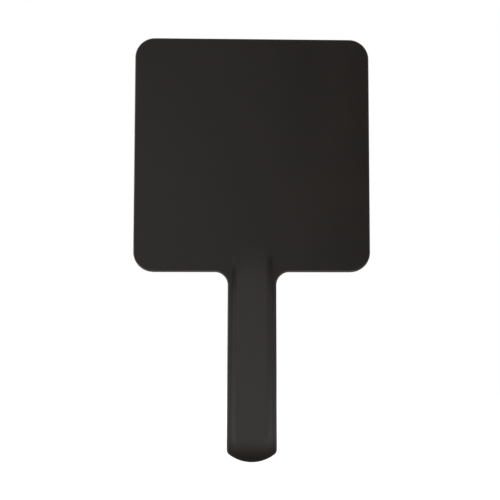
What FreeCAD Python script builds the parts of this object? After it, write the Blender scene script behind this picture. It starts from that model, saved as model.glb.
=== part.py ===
import FreeCAD, Part
import math
import os

# A square salon hand mirror: a front frame and a rear cover close round a mirror glass, which
# foam strips press against the frame's lip. Lengths are in millimetres.
# The origin is the middle of the grip, in the plane where the two shells meet. +Z runs up the
# handle to the head, +Y points out of the glass and -Y out of the plain back.

# ---- outline, seen square to the glass ----
head_width = 136.0
head_height = 136.0
head_corner_r = 11.5
neck_fillet_r = 7.5
handle_length = 107.3
handle_width_neck = 27.8
handle_width_end = 28.5
end_arc_r = 21.4
end_corner_r = 3.5

# ---- shells ----
rear_panel = 1.8
front_skin = 1.5
shell_wall = 1.6
edge_r = 1.2
parting_chamfer = 0.25
rim_width = 6.0
window_edge_r = 0.5

# ---- lap joint: the rear cover's inner lip stands inside the front frame's wall ----
lap_thickness = 0.9
lap_gap = 0.15
lap_end_gap = 0.5

# ---- mirror glass, its backing, and the foam strips behind them ----
glass_thickness = 2.0
glass_gap = 0.35
glass_arris = 0.3
backing_thickness = 0.15
backing_inset = 0.6
foam_thickness = 1.0
foam_width = 12.0
foam_from_edge = 6.0
foam_end_gap = 4.0

# ---- ribs inside the rear cover ----
rib_height = 2.05
rib_thickness = 1.2
rib_bays = 4

# ---- crown raised on the back of the handle ----
crown_height = 1.8
crown_land = 0.5
crown_shoulder = 3.9
crown_into_head = 12.5
crown_neck_ramp = 21.0
crown_end_ramp = 13.0

# ---- pins of the rear cover, and the sockets of the front frame that take them ----
pin_count = 3
pin_r = 1.5
pin_shoulder_r = 2.6
pin_fit = 0.05
pin_end_gap = 0.2
socket_wall = 1.4
socket_floor = 0.3
pin_from_neck = 16.0
pin_from_end = 17.0

# A feature starts this far inside the body that it grows from, so that the two are one.
root = 0.3

# ---- places worked out from the sizes above ----
head_low = handle_length / 2
head_high = head_low + head_height
head_middle = (head_low + head_high) / 2
tip = -handle_length / 2
back_depth = rear_panel + rib_height
pocket_depth = foam_thickness + backing_thickness + glass_thickness
front_depth = pocket_depth + front_skin
lap_inset = shell_wall + lap_gap
cavity_inset = lap_inset + lap_thickness
glass_inset = cavity_inset + glass_gap
foam_line = glass_inset + foam_from_edge + foam_width / 2
foam_reach_x = head_width / 2 - foam_line
foam_reach_z = head_height / 2 - foam_line


def point(x, z, y=0.0):
    """x across, z up, in the plane at y."""
    return FreeCAD.Vector(x, y, z)


def same(p):
    return p


def mirrored(p):
    """The same point on the left of the centre line."""
    return FreeCAD.Vector(-p.x, p.y, p.z)


def line(start, stop):
    return Part.LineSegment(start, stop).toShape()


def arc(start, centre, stop):
    """The shorter arc about centre from start to stop."""
    middle = (start - centre) + (stop - centre)
    middle.normalize()
    return Part.Arc(start, centre + middle * (start - centre).Length, stop).toShape()


def spread(low, high, count):
    """count places evenly spaced from low to high."""
    return [low + (high - low) * i / (count - 1) for i in range(count)]


def prism(edges, low, high):
    """The solid between the planes y = low and y = high whose outline the edges close."""
    wire = Part.Wire(Part.__sortEdges__(edges))
    wire.translate(FreeCAD.Vector(0, low, 0))
    return Part.Face(wire).extrude(FreeCAD.Vector(0, high - low, 0))


def block(x_low, x_high, y_low, y_high, z_low, z_high):
    corner = FreeCAD.Vector(x_low, y_low, z_low)
    return Part.makeBox(x_high - x_low, y_high - y_low, z_high - z_low, corner)


def post(radius, z, y_low, y_high):
    """A round post on the centre line, standing along y."""
    base = FreeCAD.Vector(0, y_low, z)
    return Part.makeCylinder(radius, y_high - y_low, base, FreeCAD.Vector(0, 1, 0))


# ---- the outline ----


def side_directions():
    """Unit vectors down the handle's right side, and from that side to the centre line."""
    along = point(handle_width_end / 2, tip) - point(handle_width_neck / 2, head_low)
    along.normalize()
    return along, point(along.z, -along.x)


def handle_half(z):
    """Half of the handle's width at height z."""
    share = (head_low - z) / handle_length
    return (handle_width_neck + (handle_width_end - handle_width_neck) * share) / 2


def neck_centre():
    """Centre of the fillet between the head's lower edge and the handle's right side."""
    along, inward = side_directions()
    travel = neck_fillet_r * (inward.z - 1) / along.z
    return point(handle_width_neck / 2, head_low) + along * travel - inward * neck_fillet_r


def end_corner(inset):
    """(start, centre, stop) of the corner where the handle's right side meets its end arc."""
    along, inward = side_directions()
    radius = max(end_corner_r - inset, root)
    arc_centre = point(0, tip + end_arc_r)
    on_side = point(handle_width_neck / 2, head_low) + inward * (inset + radius)
    offset = on_side - arc_centre
    reach = end_arc_r - inset - radius
    before = offset.dot(along)
    travel = -before + math.sqrt(before**2 - offset.dot(offset) + reach**2)
    centre = on_side + along * travel
    outward = centre - arc_centre
    outward.normalize()
    return centre - inward * radius, centre, centre + outward * radius


def head_corners(inset):
    """(start, centre, stop) of the head's upper and lower right corners, moved in by inset."""
    radius = head_corner_r - inset
    side = head_width / 2 - inset
    high, low = head_high - inset, head_low + inset
    across = side - radius
    upper = (point(across, high), point(across, high - radius), point(side, high - radius))
    lower = (point(side, low + radius), point(across, low + radius), point(across, low))
    return upper, lower


def closed_by_mirror(corners):
    """Edges of the closed outline whose right half is these arcs, joined by straight sides."""
    edges = []
    for side in (same, mirrored):
        for start, centre, stop in corners:
            edges.append(arc(side(start), side(centre), side(stop)))
        for before, after in zip(corners, corners[1:]):
            edges.append(line(side(before[2]), side(after[0])))
    edges.append(line(mirrored(corners[0][0]), corners[0][0]))
    return edges


def whole_slab(inset, low, high):
    """The mirror's whole outline moved in by inset, from y = low to y = high."""
    inward = side_directions()[1]
    neck = neck_centre()
    fillet = (point(neck.x, head_low + inset), neck, neck + inward * (neck_fillet_r + inset))
    end = end_corner(inset)
    edges = closed_by_mirror([*head_corners(inset), fillet, end])
    edges.append(Part.Arc(end[2], point(0, tip + inset), mirrored(end[2])).toShape())
    return prism(edges, low, high)


def head_slab(inset, low, high):
    """The head's square alone, moved in by inset, from y = low to y = high."""
    corners = head_corners(inset)
    edges = closed_by_mirror(corners)
    edges.append(line(corners[-1][2], mirrored(corners[-1][2])))
    return prism(edges, low, high)


def edges_in_plane(shape, y):
    """The shape's edges that lie in the plane at y."""
    return [e for e in shape.Edges if all(abs(v.Y - y) < 1e-6 for v in e.Vertexes)]


def rounding():
    """Radius of the shells' outer edges, which the handle's small end corners must leave room for."""
    return min(edge_r, end_corner_r - root)


def outer_shell(face_y):
    """The outline from the parting plane to face_y, rounded there and chamfered at the parting."""
    shell = whole_slab(0, min(face_y, 0), max(face_y, 0))
    shell = shell.makeFillet(rounding(), edges_in_plane(shell, face_y))
    return shell.makeChamfer(parting_chamfer, edges_in_plane(shell, 0))


# ---- the crown on the back of the handle ----


def ease(t):
    """Rises from 0 to 1 and is level at both ends."""
    t = min(max(t, 0.0), 1.0)
    return t * t * (3 - 2 * t)


def crown_face():
    """The crown's surface. Its border lies in the flat back, and it leaves the back tangent."""
    steps_across, steps_down = 24, 60
    margin = rounding() + crown_land
    arc_r = end_arc_r - margin
    top = head_low + crown_into_head
    rows = []
    for j in range(steps_down + 1):
        down = j / steps_down
        half = handle_half(top + (tip + margin - top) * down) - margin
        row = []
        for i in range(steps_across + 1):
            x = half * (2 * i / steps_across - 1)
            low = tip + end_arc_r - math.sqrt(arc_r**2 - x**2)
            z = top + (low - top) * down
            side = ease((half - abs(x)) / crown_shoulder)
            ends = ease((top - z) / crown_neck_ramp) * ease((z - low) / crown_end_ramp)
            row.append(FreeCAD.Vector(x, -back_depth - crown_height * side * ends, z))
        rows.append(row)
    surface = Part.BSplineSurface()
    surface.interpolate(rows)
    return surface.toShape()


def crowned(shell):
    """The rear shell with the crown swelling out of its flat back."""
    crown = crown_face()
    flat = next(f for f in shell.Faces if len(edges_in_plane(f, -back_depth)) == len(f.Edges))
    round_it = Part.makeFace([flat.OuterWire, crown.OuterWire], "Part::FaceMakerBullseye")
    others = [f for f in shell.Faces if not f.isSame(flat)]
    skin = Part.makeShell([*others, round_it, crown])
    skin.sewShape()
    solid = Part.makeSolid(skin)
    if solid.Volume < 0:
        solid.reverse()
    return solid


def crown_pocket(spare):
    """The hollow under the level top of the crown, which keeps the panel's thickness there,
    grown on all sides by spare."""
    narrowest = min(handle_width_neck, handle_width_end) / 2
    half = narrowest - rounding() - crown_land - crown_shoulder + spare
    deep = rear_panel - back_depth - crown_height - spare
    low = tip + rounding() + crown_land + crown_end_ramp - spare
    high = head_low + crown_into_head - crown_neck_ramp + spare
    return block(-half, half, deep, 0, low, high)


# ---- the two shells ----


def pin_places():
    return spread(tip + pin_from_end, head_low - pin_from_neck, pin_count)


def head_ribs():
    """The grid of ribs behind the mirror. The foam strips rest on its outermost ribs."""
    half_rib = rib_thickness / 2
    floor = -rib_height - root
    side = head_width / 2 - cavity_inset + root
    low, high = head_low + cavity_inset - root, head_high - cavity_inset + root
    ribs = []
    for x in spread(-foam_reach_x, foam_reach_x, rib_bays + 1):
        ribs.append(block(x - half_rib, x + half_rib, floor, 0, low, high))
    for z in spread(head_middle - foam_reach_z, head_middle + foam_reach_z, rib_bays + 1):
        ribs.append(block(-side, side, floor, 0, z - half_rib, z + half_rib))
    return ribs


def handle_ribs():
    """A rib across the handle midway between each two pins, down into the crown's pocket."""
    pocket = crown_pocket(root)
    pins = pin_places()
    ribs = []
    for below, above in zip(pins, pins[1:]):
        middle = (below + above) / 2
        low, high = middle - rib_thickness / 2, middle + rib_thickness / 2
        half = handle_half(middle) - cavity_inset + root
        ribs.append(block(-half, half, -rib_height - root, 0, low, high))
        deep = block(-half, half, -back_depth - crown_height, 0, low, high)
        ribs.append(pocket.common(deep))
    return ribs


def rear_pins():
    """Pins on shoulders that meet the front frame's sockets in the parting plane."""
    floor = rear_panel - back_depth - crown_height - root
    top = pocket_depth - socket_floor - pin_end_gap
    posts = []
    for z in pin_places():
        posts.append(post(pin_shoulder_r, z, floor, 0))
        posts.append(post(pin_r, z, -root, top))
    return posts


def rear_cover():
    """Back panel and rear half of the handle, with the lap, the ribs and the pins."""
    shell = crowned(outer_shell(-back_depth))
    shell = shell.cut(whole_slab(cavity_inset, -rib_height, root).fuse(crown_pocket(0)))
    lap_end = pocket_depth - lap_end_gap
    lap = whole_slab(lap_inset, -root, lap_end).cut(whole_slab(cavity_inset, -root, lap_end))
    return shell.fuse([lap, *head_ribs(), *handle_ribs(), *rear_pins()]).removeSplitter()


def window_edges(shape):
    """The frame's edges round the window, in its front face."""
    side = head_width / 2 - rim_width + 1e-6
    low = head_low + rim_width - 1e-6
    flat = edges_in_plane(shape, front_depth)
    return [e for e in flat if all(abs(v.X) < side and v.Z > low for v in e.Vertexes)]


def front_frame():
    """Rim round the glass and front half of the handle, with the sockets for the pins."""
    frame = outer_shell(front_depth)
    frame = frame.cut(whole_slab(shell_wall, -root, pocket_depth))
    frame = frame.cut(head_slab(rim_width, 0, front_depth + root))
    frame = frame.makeFillet(window_edge_r, window_edges(frame))
    socket_r = pin_r + pin_fit
    half_rib = rib_thickness / 2
    for z in pin_places():
        wing = handle_half(z) - glass_inset
        rib = block(-wing, wing, root, pocket_depth + root, z - half_rib, z + half_rib)
        socket = post(socket_r + socket_wall, z, 0, pocket_depth + root).fuse(rib)
        bore = post(socket_r, z, -root, pocket_depth - socket_floor)
        frame = frame.fuse(socket.cut(bore))
    return frame.removeSplitter()


# ---- the mirror and its bedding ----


def mirror_glass():
    """A plain square of float glass with its sharp edges taken off."""
    low, high = pocket_depth - glass_thickness, pocket_depth
    glass = head_slab(glass_inset, low, high)
    sharp = edges_in_plane(glass, low) + edges_in_plane(glass, high)
    return glass.makeChamfer(glass_arris, sharp)


def mirror_backing():
    """The opaque layer over the silvered back of the glass."""
    return head_slab(glass_inset + backing_inset, foam_thickness, foam_thickness + backing_thickness)


def foam_strip(x, z, width, height):
    """A strip of foam tape centred at x, z, from the ribs' tops to the backing."""
    return block(x - width / 2, x + width / 2, 0, foam_thickness, z - height / 2, z + height / 2)


def foam_strips():
    """Four strips in a square: the upper and lower ones run right across."""
    across = 2 * foam_reach_x + foam_width
    upright = 2 * foam_reach_z - foam_width - 2 * foam_end_gap
    return {
        "foam_strip_top": foam_strip(0, head_middle + foam_reach_z, across, foam_width),
        "foam_strip_bottom": foam_strip(0, head_middle - foam_reach_z, across, foam_width),
        "foam_strip_left": foam_strip(-foam_reach_x, head_middle, foam_width, upright),
        "foam_strip_right": foam_strip(foam_reach_x, head_middle, foam_width, upright),
    }


nodes = {
    "rear_cover": rear_cover(),
    "front_frame": front_frame(),
    "mirror_glass": mirror_glass(),
    "mirror_backing": mirror_backing(),
    **foam_strips(),
}

os.makedirs("parts", exist_ok=True)
for name, shape in nodes.items():
    shape.exportStep(f"parts/{name}.step")
    print(name, len(shape.Solids), "solid", round(shape.Volume / 1000, 2), "cm3", shape.isValid())
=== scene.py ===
import math

import bmesh
import bpy
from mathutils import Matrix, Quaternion, Vector, geometry, noise


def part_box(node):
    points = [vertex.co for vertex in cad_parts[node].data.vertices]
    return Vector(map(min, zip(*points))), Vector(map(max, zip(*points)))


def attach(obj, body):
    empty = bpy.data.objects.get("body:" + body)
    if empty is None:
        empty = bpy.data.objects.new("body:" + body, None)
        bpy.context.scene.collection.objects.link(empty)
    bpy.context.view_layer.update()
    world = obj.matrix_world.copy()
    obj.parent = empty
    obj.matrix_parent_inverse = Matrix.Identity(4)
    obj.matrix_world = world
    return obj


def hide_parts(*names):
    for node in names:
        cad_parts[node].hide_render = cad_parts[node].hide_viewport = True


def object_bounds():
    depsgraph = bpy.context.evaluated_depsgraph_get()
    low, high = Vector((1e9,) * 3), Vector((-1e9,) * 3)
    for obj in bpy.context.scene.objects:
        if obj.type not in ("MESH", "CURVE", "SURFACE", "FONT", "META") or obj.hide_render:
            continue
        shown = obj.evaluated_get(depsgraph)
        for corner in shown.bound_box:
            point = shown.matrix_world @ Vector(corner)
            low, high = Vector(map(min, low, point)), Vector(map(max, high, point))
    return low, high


# The looks of a square salon hand mirror, standing upright with its plain back to the camera.
# Lengths are in metres, in the CAD frame: +Z points up from the handle to the head, and the glass
# faces +Y.

MM = 0.001

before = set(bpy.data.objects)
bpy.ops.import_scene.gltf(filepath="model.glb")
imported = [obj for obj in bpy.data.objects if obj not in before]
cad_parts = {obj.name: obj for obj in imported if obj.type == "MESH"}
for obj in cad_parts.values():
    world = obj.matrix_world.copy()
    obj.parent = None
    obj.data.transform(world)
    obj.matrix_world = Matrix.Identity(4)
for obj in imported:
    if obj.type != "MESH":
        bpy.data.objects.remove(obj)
cad_low, cad_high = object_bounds()
middle = (cad_low + cad_high) / 2
rear_low, rear_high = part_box("rear_cover")
glass_low, glass_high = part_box("mirror_glass")

# ---- camera ----
camera_distance = 0.350
camera_azimuth = math.radians(-1.20)
camera_elevation = math.radians(-2.83)
camera_roll = math.radians(0.08)
camera_lens = 43.87
aim = middle + Vector((-1.19, -2.1, -1.65)) * MM

# ---- outline: a square head on a straight handle with a shallow round end ----
half_width = (cad_high.x - cad_low.x) / 2
head_high, tip = cad_high.z, cad_low.z
head_low = head_high - 2 * half_width
head_corner_r = 11.5 * MM
neck_fillet_r = 7.5 * MM
handle_half_neck = 13.9 * MM
handle_half_end = 14.25 * MM
end_arc_r = 21.4 * MM
end_corner_r = 3.5 * MM
least_corner_r = 0.3 * MM

# ---- shells: the parting plane is y = 0 ----
back_face = -3.85 * MM
front_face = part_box("front_frame")[1].y
skin_face = glass_high.y
inner_floor = -2.05 * MM
edge_r = 1.2 * MM
edge_steps = 8
parting_chamfer = 0.25 * MM
wall = 1.6 * MM
lap_gap = 0.15 * MM
lap_thickness = 0.9 * MM
lap_inset = wall + lap_gap
lap_top = rear_high.y
cavity_inset = lap_inset + lap_thickness
rim_width = 6.0 * MM
window_edge_r = 0.5 * MM

# ---- crown on the back of the handle ----
crown_height = back_face - rear_low.y
crown_land = 0.5 * MM
crown_inset = edge_r + crown_land
crown_shoulder = 3.9 * MM
crown_top = head_low + 12.5 * MM
crown_neck_ramp = 21.0 * MM
crown_end_ramp = 13.0 * MM

# ---- glass and foam ----
glass_inset = half_width - glass_high.x
glass_arris = 0.3 * MM
glass_play = 0.03 * MM
foam_pitch = 1.0 * MM
foam_layers = 4
foam_bulge = 0.20 * MM
foam_waver = 0.08 * MM
foam_waver_step = 0.37

# ---- meshes ----
head_side_parts = 34
head_half_parts = 18
fill_pitch = 6 * MM
sliver = (0.01 * MM) ** 2
crease_angle = math.radians(33)

# ---- stage and light ----
floor_gap = 20 * MM
floor_radius = 0.45
floor_shade = 0.72
floor_glow = 0.17
dome_level = 0.95


def add_camera():
    data = bpy.data.cameras.new("camera")
    data.lens = camera_lens
    data.sensor_width = 36
    camera = bpy.data.objects.new("camera", data)
    across = math.cos(camera_elevation) * camera_distance
    back = Vector((math.sin(camera_azimuth) * across, -math.cos(camera_azimuth) * across, 0))
    back.z = math.sin(camera_elevation) * camera_distance
    camera.location = aim + back
    camera.rotation_mode = "QUATERNION"
    level = (-back).to_track_quat("-Z", "Y")
    camera.rotation_quaternion = level @ Quaternion((0, 0, 1), camera_roll)
    bpy.context.scene.collection.objects.link(camera)
    bpy.context.scene.camera = camera


# ---- outline, as points (x, z) ----


def go_straight(path, end, parts):
    """Adds a straight run to the end, in so many parts."""
    start = path[-1]
    path += [start.lerp(end, i / parts) for i in range(1, parts + 1)]


def go_round(path, centre, radius, start, stop, steps, parts=0):
    """Adds an arc about centre, and before it a straight run up to it in so many parts. Angles are
    in degrees from +X towards +Z."""

    def on_arc(angle):
        turned = math.radians(angle)
        return centre + radius * Vector((math.cos(turned), math.sin(turned)))

    go_straight(path, on_arc(start), parts)
    path += [on_arc(start + (stop - start) * i / steps) for i in range(1, steps + 1)]


def heading(direction):
    return math.degrees(math.atan2(direction.y, direction.x))


def closed(right):
    """The whole loop, from its right half that runs from the top to the bottom."""
    return right + [Vector((-p.x, p.y)) for p in reversed(right[1:-1])]


def round_head(inset):
    """The right side of the head, from the middle of its top to the end of its lower corner."""
    radius = head_corner_r - inset
    across = half_width - inset - radius
    upper = Vector((across, head_high - inset - radius))
    lower = Vector((across, head_low + inset + radius))
    path = [Vector((0, head_high - inset))]
    go_round(path, upper, radius, 90, 0, steps=16, parts=head_half_parts)
    go_round(path, lower, radius, 0, -90, steps=16, parts=head_side_parts)
    return path


def head_outline(inset):
    """The head's square alone."""
    path = round_head(inset)
    go_straight(path, Vector((0, head_low + inset)), head_half_parts)
    return closed(path)


def whole_outline(inset):
    """The head and the handle."""
    path = round_head(inset)
    shoulder = Vector((handle_half_neck, head_low))
    along = (Vector((handle_half_end, tip)) - shoulder).normalized()
    inward = Vector((along.y, -along.x))

    # The neck fillet touches the head's lower edge and the handle's side.
    neck = shoulder + along * neck_fillet_r * (inward.y - 1) / along.y - inward * neck_fillet_r
    to_side = heading(inward) % 360
    go_round(path, neck, neck_fillet_r + inset, 90, to_side, steps=14, parts=11)

    # The end corner's centre keeps its radius from the side and from the end arc.
    radius = max(end_corner_r - inset, least_corner_r)
    end_centre = Vector((0, tip + end_arc_r))
    offset = shoulder + inward * (inset + radius) - end_centre
    before = offset.dot(along)
    reach = end_arc_r - inset - radius
    travel = -before + math.sqrt(before**2 - offset.length_squared + reach**2)
    outward = offset + along * travel
    corner = end_centre + outward
    go_round(path, corner, radius, heading(-inward), heading(outward), steps=6, parts=36)
    go_round(path, end_centre, end_arc_r - inset, heading(outward), -90, steps=12)
    return closed(path)


# ---- meshes ----


def sweep(mesh, outline, profile):
    """Rings of the outline at each (inset, y) of the profile, joined by faces."""
    rings = [[mesh.verts.new((p.x, y, p.y)) for p in outline(inset)] for inset, y in profile]
    for near, far in zip(rings, rings[1:]):
        for i, vert in enumerate(near):
            after = (i + 1) % len(near)
            mesh.faces.new((vert, near[after], far[after], far[i]))
    return rings


def inside(loop, x, z):
    """Whether (x, z) lies within the loop of vertices."""
    crossings = 0
    for a, b in zip(loop, loop[1:] + loop[:1]):
        if (a.co.z > z) != (b.co.z > z):
            crossings += x < a.co.x + (b.co.x - a.co.x) * (z - a.co.z) / (b.co.z - a.co.z)
    return crossings % 2 == 1


def doubled_area(spots):
    """Twice the area of the triangle of three flat points."""
    a, b, c = spots
    return abs((b - a).cross(c - a))


def sides(triangle):
    """The three edges of a triangle of indices."""
    return [frozenset(edge) for edge in zip(triangle, triangle[1:] + triangle[:1])]


def regions(triangles, borders):
    """Groups of triangles that meet across edges other than the borders."""
    owners = {}
    for n, triangle in enumerate(triangles):
        for edge in sides(triangle):
            owners.setdefault(edge, []).append(n)
    left = set(range(len(triangles)))
    while left:
        group = []
        waiting = [left.pop()]
        while waiting:
            triangle = triangles[waiting.pop()]
            group.append(triangle)
            for edge in sides(triangle):
                if edge not in borders:
                    reached = left.intersection(owners[edge])
                    left -= reached
                    waiting += sorted(reached)
        yield group


def fill(mesh, rim, hole=()):
    """Fills a flat loop of vertices, but not a hole in it, with near-even triangles, and returns
    their faces."""
    height = rim[0].co.y
    corners = list(rim) + list(hole)
    edges = [(i, (i + 1) % len(rim)) for i in range(len(rim))]
    edges += [(len(rim) + i, len(rim) + (i + 1) % len(hole)) for i in range(len(hole))]
    flat = [Vector((v.co.x, v.co.z)) for v in corners]

    def within(spot):
        return inside(rim, *spot) and not (hole and inside(hole, *spot))

    # Spots on a triangular grid, clear of the loops and of each other.
    lowest, highest = min(p.y for p in flat), max(p.y for p in flat)
    columns = int(max(p.x for p in flat) / fill_pitch)
    clear = 0.55 * fill_pitch
    for row in range(1, int((highest - lowest) / fill_pitch)):
        for column in range(-columns, columns + 1):
            spot = Vector(((column + 0.5 * (row % 2)) * fill_pitch, lowest + row * fill_pitch))
            if min((spot - p).length for p in flat) >= clear and within(spot):
                corners.append(mesh.verts.new((spot.x, height, spot.y)))
                flat.append(spot)

    # A region is kept or left out as a whole, by its largest triangle.
    _, _, cut, sources, _, _ = geometry.delaunay_2d_cdt(flat, edges, [], 0, 1e-9)
    triangles = [tuple(sources[i][0] for i in triangle) for triangle in cut]
    faces = []
    for group in regions(triangles, {frozenset(edge) for edge in edges}):
        largest = max(([flat[i] for i in triangle] for triangle in group), key=doubled_area)
        centre = sum(largest, Vector((0, 0))) / 3
        if within(centre) and doubled_area(largest) >= sliver:
            faces += [mesh.faces.new([corners[i] for i in triangle]) for triangle in group]
    return faces


def finished(mesh, name, materials, node):
    """The mesh as a piece that stands for a CAD node and takes its finish from the slot."""
    bmesh.ops.recalc_face_normals(mesh, faces=mesh.faces)
    data = bpy.data.meshes.new(name)
    mesh.to_mesh(data)
    mesh.free()
    data.shade_smooth()
    data.set_sharp_from_angle(angle=crease_angle)
    for material in materials:
        data.materials.append(material)
    piece = bpy.data.objects.new(name, data)
    bpy.context.scene.collection.objects.link(piece)
    even = piece.modifiers.new("even_normals", "WEIGHTED_NORMAL")
    even.keep_sharp = True
    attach(piece, "root")
    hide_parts(node)
    return piece


def quarter(steps):
    """Angles of a quarter turn from 0 to 90 degrees, in radians."""
    return [math.pi / 2 * i / steps for i in range(steps + 1)]


def edge_and_side(face):
    """Profile from a shell's face round its edge and down its side to the parting chamfer."""
    out = math.copysign(1, face)
    profile = []
    for a in quarter(edge_steps):
        profile.append((edge_r * (1 - math.sin(a)), face - out * edge_r * (1 - math.cos(a))))
    profile.append((0, out * parting_chamfer))
    profile.append((parting_chamfer, 0))
    return profile


def mark_edge_wear_and_highlight(mesh, rings):
    """Marks how worn the edge's vertices are and how strongly a painted highlight line lies on them:
    most of all a third of the way round it.
    """
    layer = mesh.verts.layers.float["edge"]
    edge_rings = rings[: edge_steps + 1]
    for i, ring in enumerate(edge_rings):
        lighter_share = math.sin(math.pi * (i / edge_steps) ** 0.6)
        for vert in ring:
            vert[layer] = lighter_share


# ---- the rear cover ----


def ease(t):
    """Rises from 0 to 1 and is level at both ends."""
    t = min(max(t, 0.0), 1.0)
    return t * t * (3 - 2 * t)


def crown_vertices(mesh, across=48, down=96):
    """Rows of vertices over the crown. Its border lies in the flat back."""
    arc_r = end_arc_r - crown_inset
    rows = []
    for j in range(down + 1):
        z_side = crown_top + (tip + crown_inset - crown_top) * j / down
        share = (head_low - z_side) / (head_low - tip)
        half = handle_half_neck + (handle_half_end - handle_half_neck) * share - crown_inset
        row = []
        for i in range(across + 1):
            x = half * (2 * i / across - 1)
            low = tip + end_arc_r - math.sqrt(arc_r**2 - x**2)
            z = crown_top + (low - crown_top) * j / down
            ends = ease((crown_top - z) / crown_neck_ramp) * ease((z - low) / crown_end_ramp)
            rise = crown_height * ease((half - abs(x)) / crown_shoulder) * ends
            row.append(mesh.verts.new((x, back_face - rise, z)))
        rows.append(row)
    return rows


def rear_cover(materials):
    """Back panel and rear half of the handle, with the lap that stands inside the front frame."""
    mesh = bmesh.new()
    mesh.verts.layers.float.new("edge")
    lap = [(lap_inset, 0), (lap_inset, lap_top), (cavity_inset, lap_top), (cavity_inset, inner_floor)]
    rings = sweep(mesh, whole_outline, edge_and_side(back_face) + lap)
    mark_edge_wear_and_highlight(mesh, rings)
    rows = crown_vertices(mesh)
    for near, far in zip(rows, rows[1:]):
        for i in range(len(near) - 1):
            mesh.faces.new((near[i], near[i + 1], far[i + 1], far[i]))
    left = [row[0] for row in rows[1:-1]]
    right = [row[-1] for row in rows[1:-1]]
    border = rows[0] + right + rows[-1][::-1] + left[::-1]
    fill(mesh, rings[0], border)
    fill(mesh, rings[-1])
    return finished(mesh, "rear_cover_shell", materials, "rear_cover")


# ---- the front frame ----


def front_frame(materials):
    """Rim round the glass and front half of the handle."""
    mesh = bmesh.new()
    mesh.verts.layers.float.new("edge")
    outer = sweep(mesh, whole_outline, edge_and_side(front_face) + [(wall, 0), (wall, skin_face)])
    mark_edge_wear_and_highlight(mesh, outer)
    profile = [(rim_width, skin_face)]
    for a in quarter(steps=4):
        inset = rim_width - window_edge_r * (1 - math.cos(a))
        profile.append((inset, front_face - window_edge_r * (1 - math.sin(a))))
    window = sweep(mesh, head_outline, profile)
    fill(mesh, outer[0], window[-1])
    fill(mesh, outer[-1], window[0])
    return finished(mesh, "front_frame_shell", materials, "front_frame")


# ---- the mirror ----


def mirror_pane(clear, silver):
    """Float glass with its edges taken off, silvered over its back face. A little play keeps it off
    the rim's lip and off the backing."""
    mesh = bmesh.new()
    back, front = glass_low.y + glass_play, glass_high.y - glass_play
    profile = [
        (glass_inset + glass_arris, back),
        (glass_inset, back + glass_arris),
        (glass_inset, front - glass_arris),
        (glass_inset + glass_arris, front),
    ]
    rings = sweep(mesh, head_outline, profile)
    for face in fill(mesh, rings[0]):
        face.material_index = 1
    fill(mesh, rings[-1])
    return finished(mesh, "mirror_pane", [clear, silver], "mirror_glass")


def foam_tape(node, material):
    """A strip of foam tape squeezed flat: its cut sides bulge between its two faces, and waver."""
    low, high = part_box(node)
    centre, extent = (low + high) / 2, high - low
    counts = [max(2, round(length / foam_pitch)) for length in extent]
    counts[1] = foam_layers
    mesh = bmesh.new()
    grid = {}

    def vertex(i, j, k):
        if (i, j, k) not in grid:
            share = [2 * n / count - 1 for n, count in zip((i, j, k), counts)]
            waver = foam_waver * (1 + noise.noise(Vector((i, 3 * j, k)) * foam_waver_step))
            spot = Vector([s * length / 2 for s, length in zip(share, extent)])
            for axis in (0, 2):
                if abs(share[axis]) == 1:
                    spot[axis] -= share[axis] * (foam_bulge * share[1] ** 2 + waver)
            grid[i, j, k] = mesh.verts.new(centre + spot)
        return grid[i, j, k]

    for axis in range(3):
        first, second = [a for a in range(3) if a != axis]
        for end in (0, counts[axis]):
            for m in range(counts[first]):
                for n in range(counts[second]):
                    corners = []
                    for dm, dn in ((0, 0), (1, 0), (1, 1), (0, 1)):
                        place = [0, 0, 0]
                        place[axis], place[first], place[second] = end, m + dm, n + dn
                        corners.append(vertex(*place))
                    mesh.faces.new(corners)
    tape = finished(mesh, node.replace("strip", "tape"), [material], node)
    return tape


# ---- node helpers ----


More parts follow.
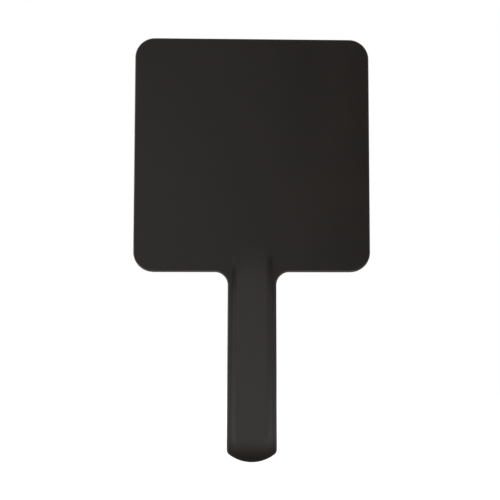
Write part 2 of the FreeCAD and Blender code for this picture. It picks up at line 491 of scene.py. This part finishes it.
class Tree:
    """A node tree that is filled with short calls."""

    def __init__(self, owner):
        owner.use_nodes = True
        self.tree = owner.node_tree
        self.tree.nodes.clear()

    def set(self, node, name, value):
        """Joins the input to a socket, or sets it to a plain value."""
        if isinstance(value, bpy.types.NodeSocket):
            self.tree.links.new(value, node.inputs[name])
        else:
            node.inputs[name].default_value = value

    def add(self, kind, inputs=None, **settings):
        """A node of that kind, its inputs set to values or joined to other nodes' outputs."""
        node = self.tree.nodes.new(kind)
        for name, value in settings.items():
            setattr(node, name, value)
        for name, value in (inputs or {}).items():
            self.set(node, name, value)
        return node

    def math(self, operation, *values):
        inputs = dict(enumerate(values))
        return self.add("ShaderNodeMath", inputs, operation=operation).outputs[0]

    def ramp(self, value, low, high, to_low=0.0, to_high=1.0):
        """value from low to high, turned into to_low to to_high and eased at both ends."""
        inputs = {"Value": value, "From Min": low, "From Max": high, "To Min": to_low, "To Max": to_high}
        node = self.add("ShaderNodeMapRange", inputs, interpolation_type="SMOOTHSTEP")
        return node.outputs["Result"]

    # A Mix node has sockets for each type: 2 and 3 are its numbers, 6 and 7 its colours.

    def blend(self, share, a, b):
        """A number between a and b."""
        return self.add("ShaderNodeMix", {0: share, 2: a, 3: b}).outputs[0]

    def mix(self, share, a, b):
        """A colour between a and b."""
        return self.add("ShaderNodeMix", {0: share, 6: a, 7: b}, data_type="RGBA").outputs[2]

    def noise(self, vector, scale, detail=2.0, roughness=0.5):
        inputs = {"Vector": vector, "Scale": scale, "Detail": detail, "Roughness": roughness}
        return self.add("ShaderNodeTexNoise", inputs).outputs["Fac"]

    def stretched(self, vector, scale, turn=(0, 0, 0)):
        """The same point with its axes turned and each scaled on its own."""
        inputs = {"Vector": vector, "Scale": scale, "Rotation": turn}
        return self.add("ShaderNodeMapping", inputs).outputs["Vector"]

    def relief(self, height, strength, depth):
        """A normal that is bumped by the height."""
        inputs = {"Strength": strength, "Distance": depth, "Height": height}
        return self.add("ShaderNodeBump", inputs).outputs["Normal"]

    def bounced(self):
        """1 for glossy and transmission rays, with which metal and glass show what is round them."""
        path = self.add("ShaderNodeLightPath").outputs
        return self.math("MAXIMUM", path["Is Glossy Ray"], path["Is Transmission Ray"])

    def seen(self, other_rays):
        """1 for camera rays, and what is given for the others."""
        path = self.add("ShaderNodeLightPath").outputs
        return self.math("MAXIMUM", path["Is Camera Ray"], other_rays)


# ---- stage and light ----


def room_level(t, x, z):
    """How bright a reflection finds the camera's side of the room: a wall that is dimmer to the
    right, a soft window left of its middle, a paler floor, and plain side walls and ceiling."""
    left_wall = 0.36
    right_wall = 0.14
    upwards = 0.10
    side_walls = 0.28
    window = 0.95
    window_x, window_z = -0.18, 0.14
    pale_floor = 0.66
    ceiling = 0.45
    aside = t.math("ABSOLUTE", x)
    level = t.ramp(x, 0.2, -0.3, right_wall, left_wall)
    level = t.math("ADD", level, t.ramp(z, 0.10, 0.40, 0.0, upwards))
    level = t.blend(t.ramp(aside, 0.35, 0.65), level, side_walls)
    from_window_x = t.math("ABSOLUTE", t.math("SUBTRACT", x, window_x))
    from_window_z = t.math("ABSOLUTE", t.math("SUBTRACT", z, window_z))
    glow = t.math("MULTIPLY", t.ramp(from_window_x, 0.42, 0.0), t.ramp(from_window_z, 0.28, 0.0))
    level = t.math("MULTIPLY_ADD", glow, window, level)
    low_ahead = t.math("MULTIPLY", t.ramp(aside, 0.45, 0.12), t.ramp(z, 0.02, -0.10))
    level = t.blend(low_ahead, level, pale_floor)
    return t.blend(t.ramp(z, 0.5, 0.9), level, ceiling)


def sweep_level(t, x, y, z):
    """How bright a reflection finds the sweep behind the object: it brightens to the lower left,
    steeply at its near edges and gently straight behind."""
    dim = 0.2
    low_left = t.math("MULTIPLY_ADD", z, 0.9, x)
    steep = t.ramp(low_left, 0.5, -1.0, dim, 3.6)
    gentle = t.ramp(low_left, 0.5, -1.0, dim, 0.8)
    return t.blend(t.ramp(y, 0.30, 0.55), steep, gentle)


def light_world():
    """A plain pale dome for diffuse light. Reflections and glass see a room and a sweep instead,
    with white right behind the object, and the camera sees white."""
    world = bpy.data.worlds.new("studio")
    bpy.context.scene.world = world
    t = Tree(world)
    direction = t.add("ShaderNodeTexCoord").outputs["Generated"]
    x, y, z = t.add("ShaderNodeSeparateXYZ", {"Vector": direction}).outputs
    level = t.blend(t.ramp(y, -0.12, 0.06), room_level(t, x, z), sweep_level(t, x, y, z))
    diffuse = t.add("ShaderNodeLightPath").outputs["Is Diffuse Ray"]
    level = t.blend(diffuse, level, dome_level)
    lit = t.add("ShaderNodeBackground", {"Color": (1, 1, 1, 1), "Strength": level})
    white = t.add("ShaderNodeBackground", {"Color": (1, 1, 1, 1), "Strength": 1.0})
    seen = t.seen(t.math("MULTIPLY", t.bounced(), t.ramp(y, 0.6, 0.95)))
    both = t.add("ShaderNodeMixShader", {0: seen, 1: lit.outputs[0], 2: white.outputs[0]})
    t.add("ShaderNodeOutputWorld", {"Surface": both.outputs[0]})


def add_lamp(name, place, side, watts):
    """A square soft box that faces the middle of the object. Reflections and glass don't show it."""
    data = bpy.data.lights.new(name, "AREA")
    data.size = side
    data.energy = watts
    lamp = bpy.data.objects.new(name, data)
    lamp.visible_glossy = False
    lamp.visible_transmission = False
    lamp.location = place
    lamp.rotation_mode = "QUATERNION"
    lamp.rotation_quaternion = (middle - Vector(place)).to_track_quat("-Z", "Y")
    bpy.context.scene.collection.objects.link(lamp)


def add_floor():
    """White paper that fades out into the backdrop. Where it is seen it glows a little, more so
    further out, so that it looks as white as the backdrop and still takes the shadow."""
    mesh = bpy.data.meshes.new("floor")
    disc = bmesh.new()
    bmesh.ops.create_circle(disc, cap_ends=True, radius=floor_radius, segments=96)
    disc.to_mesh(mesh)
    disc.free()
    floor = bpy.data.objects.new("floor", mesh)
    floor.location = (middle.x, middle.y, cad_low.z - floor_gap)
    bpy.context.scene.collection.objects.link(floor)
    material = bpy.data.materials.new("floor_paper")
    t = Tree(material)
    point = t.add("ShaderNodeTexCoord").outputs["Object"]
    radius = t.add("ShaderNodeVectorMath", {0: point}, operation="LENGTH").outputs["Value"]
    glow = t.ramp(radius, 0.25 * floor_radius, 0.5 * floor_radius, floor_glow, 2 * floor_glow)
    inputs = {
        "Base Color": (floor_shade, floor_shade, floor_shade, 1),
        "Roughness": 0.9,
        "Specular IOR Level": 0.0,
        "Emission Color": (1, 1, 1, 1),
        "Emission Strength": t.math("MULTIPLY", t.seen(t.bounced()), glow),
    }
    paper = t.add("ShaderNodeBsdfPrincipled", inputs)
    fade = t.ramp(radius, 0.5 * floor_radius, 0.98 * floor_radius)
    clear = t.add("ShaderNodeBsdfTransparent")
    mixed = t.add("ShaderNodeMixShader", {0: fade, 1: paper.outputs[0], 2: clear.outputs[0]})
    t.add("ShaderNodeOutputMaterial", {"Surface": mixed.outputs[0]})
    mesh.materials.append(material)


# ---- materials ----


def surface(name, build):
    """A material whose Principled inputs are what build(tree, point) gives."""
    material = bpy.data.materials.new(name)
    t = Tree(material)
    point = t.add("ShaderNodeTexCoord").outputs["Object"]
    shader = t.add("ShaderNodeBsdfPrincipled", build(t, point))
    t.add("ShaderNodeOutputMaterial", {"Surface": shader.outputs[0]})
    return material


def painted_grip_sheen(t, x, z):
    """Painted sheen: how much lighter the grip is painted than the head, a tongue that starts in the
    head and widens downwards, and stops short of the round end."""
    centre = 0.6 * MM
    half_start = 8 * MM
    aside = t.math("ABSOLUTE", t.math("SUBTRACT", x, centre))
    half = t.ramp(z, head_low + 18 * MM, head_low - 34 * MM, half_start, handle_half_neck)
    lighter_share = t.ramp(t.math("SUBTRACT", half, aside), -2.5 * MM, 4 * MM)
    lighter_share = t.math("MULTIPLY", lighter_share, t.ramp(z, head_low + 20 * MM, head_low - 8 * MM))
    lighter_share = t.math("MULTIPLY", lighter_share, t.ramp(z, tip + 3 * MM, tip + 18 * MM))
    return t.math("MULTIPLY", lighter_share, t.ramp(z, tip, head_low, 0.55, 1.15))


def satin_black(t, point):
    """Warm near-black moulded plastic: fine spark-eroded grain, faint flow clouds, rubbed scuffs, edges
    that are worn and carry a painted highlight line, a grip painted lighter as painted sheen, and a
    handle end whose reflection is dimmed as painted shade."""
    dark = (0.0086, 0.0052, 0.0030, 1)
    light = (0.0108, 0.0066, 0.0040, 1)
    painted_sheen = (0.0208, 0.0166, 0.0150, 1)
    rubbed = (0.020, 0.017, 0.015, 1)
    worn_and_lit = (0.050, 0.045, 0.042, 1)
    full_gloss = (1, 1, 1, 1)
    shaded_end_gloss = (0.2, 0.2, 0.2, 1)
    x, _, z = t.add("ShaderNodeSeparateXYZ", {"Vector": point}).outputs
    clouds = t.ramp(t.noise(point, 26.0, detail=3.0), 0.3, 0.7)
    mottle = t.ramp(t.noise(point, 240.0, detail=4.0), 0.35, 0.7)
    along = t.noise(t.stretched(point, (900, 900, 30), (0, 0.35, 0)), 1.0, detail=1.0)
    across = t.noise(t.stretched(point, (24, 900, 1100), (0, -0.2, 0)), 1.0, detail=1.0)
    scuff = t.math("MAXIMUM", t.ramp(along, 0.72, 0.80), t.ramp(across, 0.74, 0.82))
    edge = t.add("ShaderNodeAttribute", attribute_name="edge").outputs["Fac"]
    edge = t.math("MULTIPLY", edge, t.ramp(t.noise(point, 70.0), 0.35, 0.65, 0.4, 1.0))
    colour = t.mix(clouds, dark, light)
    # Painted sheen: the grip is painted lighter than the head.
    colour = t.mix(painted_grip_sheen(t, x, z), colour, painted_sheen)
    colour = t.mix(t.math("MULTIPLY", scuff, 0.25), colour, rubbed)
    # Edges painted lighter: partly wear, partly a painted highlight line.
    colour = t.mix(t.math("MULTIPLY", edge, 0.45), colour, worn_and_lit)
    roughness = t.math("MULTIPLY_ADD", clouds, 0.05, 0.33)
    roughness = t.math("MULTIPLY_ADD", mottle, 0.03, roughness)
    roughness = t.math("MULTIPLY_ADD", scuff, 0.05, roughness)
    roughness = t.math("MULTIPLY_ADD", edge, -0.10, roughness)
    return {
        "Base Color": colour,
        "Roughness": roughness,
        "Specular IOR Level": 0.4,
        # Painted shade: the reflection is dimmed over the last 15 mm toward the handle's end.
        "Specular Tint": t.mix(t.ramp(z, tip, tip + 15 * MM), shaded_end_gloss, full_gloss),
        "Normal": t.relief(t.noise(point, 3000.0, detail=2.0), strength=0.3, depth=0.015 * MM),
    }


def clear_glass(t, point):
    """Float glass: faintly green and very nearly flat, with the haze and streaks of a quick wipe."""
    clean = (0.93, 0.975, 0.95, 1)
    hazy = (0.89, 0.935, 0.915, 1)
    haze = t.ramp(t.noise(point, 40.0, detail=3.0), 0.4, 0.8)
    wipe = t.noise(t.stretched(point, (14, 1, 150), (0, 0.6, 0)), 1.0, detail=3.0)
    smear = t.math("MULTIPLY", haze, t.ramp(wipe, 0.35, 0.7, 0.3, 1.0))
    return {
        "Base Color": t.mix(smear, clean, hazy),
        "Roughness": t.ramp(smear, 0.0, 1.0, 0.0, 0.03),
        "IOR": 1.52,
        "Transmission Weight": 1.0,
        "Normal": t.relief(t.noise(point, 12.0, detail=0.0), strength=0.2, depth=0.02 * MM),
    }


def silvering(t, point):
    """Silver on the back of the glass, laid a little unevenly."""
    thin = (0.90, 0.91, 0.90, 1)
    thick = (0.93, 0.94, 0.93, 1)
    patches = t.noise(point, 18.0, detail=4.0)
    return {
        "Base Color": t.mix(patches, thin, thick),
        "Metallic": 1.0,
        "Roughness": t.ramp(patches, 0.5, 0.9, 0.0, 0.01),
        "Normal": t.relief(patches, strength=0.1, depth=0.01 * MM),
    }


def backing_paint(t, point):
    """Grey protective paint, rolled on: fine orange peel and thin places."""
    thin = (0.16, 0.17, 0.18, 1)
    thick = (0.21, 0.22, 0.23, 1)
    peel = t.noise(point, 900.0, detail=2.0)
    return {
        "Base Color": t.mix(t.noise(point, 35.0, detail=4.0), thin, thick),
        "Roughness": t.ramp(peel, 0.3, 0.7, 0.55, 0.7),
        "Normal": t.relief(peel, strength=0.4, depth=0.03 * MM),
    }


def foam(t, point):
    """White closed-cell foam: rounded cells with thin walls, their hollows painted darker as painted
    shade.
    """
    shaded_hollow = (0.62, 0.60, 0.55, 1)
    raised = (0.82, 0.81, 0.77, 1)
    inputs = {"Vector": point, "Scale": 1800.0}
    cells = t.add("ShaderNodeTexVoronoi", inputs, feature="F1").outputs["Distance"]
    return {
        # Painted shade: the hollows of the cells are painted darker than their walls.
        "Base Color": t.mix(t.ramp(cells, 0.0, 0.9), shaded_hollow, raised),
        "Roughness": 0.85,
        "Subsurface Weight": 0.1,
        "Subsurface Scale": 0.5 * MM,
        "Normal": t.relief(cells, strength=0.7, depth=0.15 * MM),
    }


add_camera()
light_world()
add_floor()
add_lamp("side_light", place=(-0.42, 0.22, 0.12), side=0.30, watts=1.3)
add_lamp("top_light", place=(0.10, 0.45, 0.85), side=0.45, watts=3.4)

plastic = surface("satin_black_plastic", satin_black)
rear_cover([plastic])
front_frame([plastic])
mirror_pane(surface("clear_glass", clear_glass), surface("silvering", silvering))
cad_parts["mirror_backing"].material_slots[0].material = surface("backing_paint", backing_paint)
foam_material = surface("closed_cell_foam", foam)
for strip in ("top", "bottom", "left", "right"):
    foam_tape(f"foam_strip_{strip}", foam_material)

bpy.context.scene.view_settings.view_transform = "Standard"
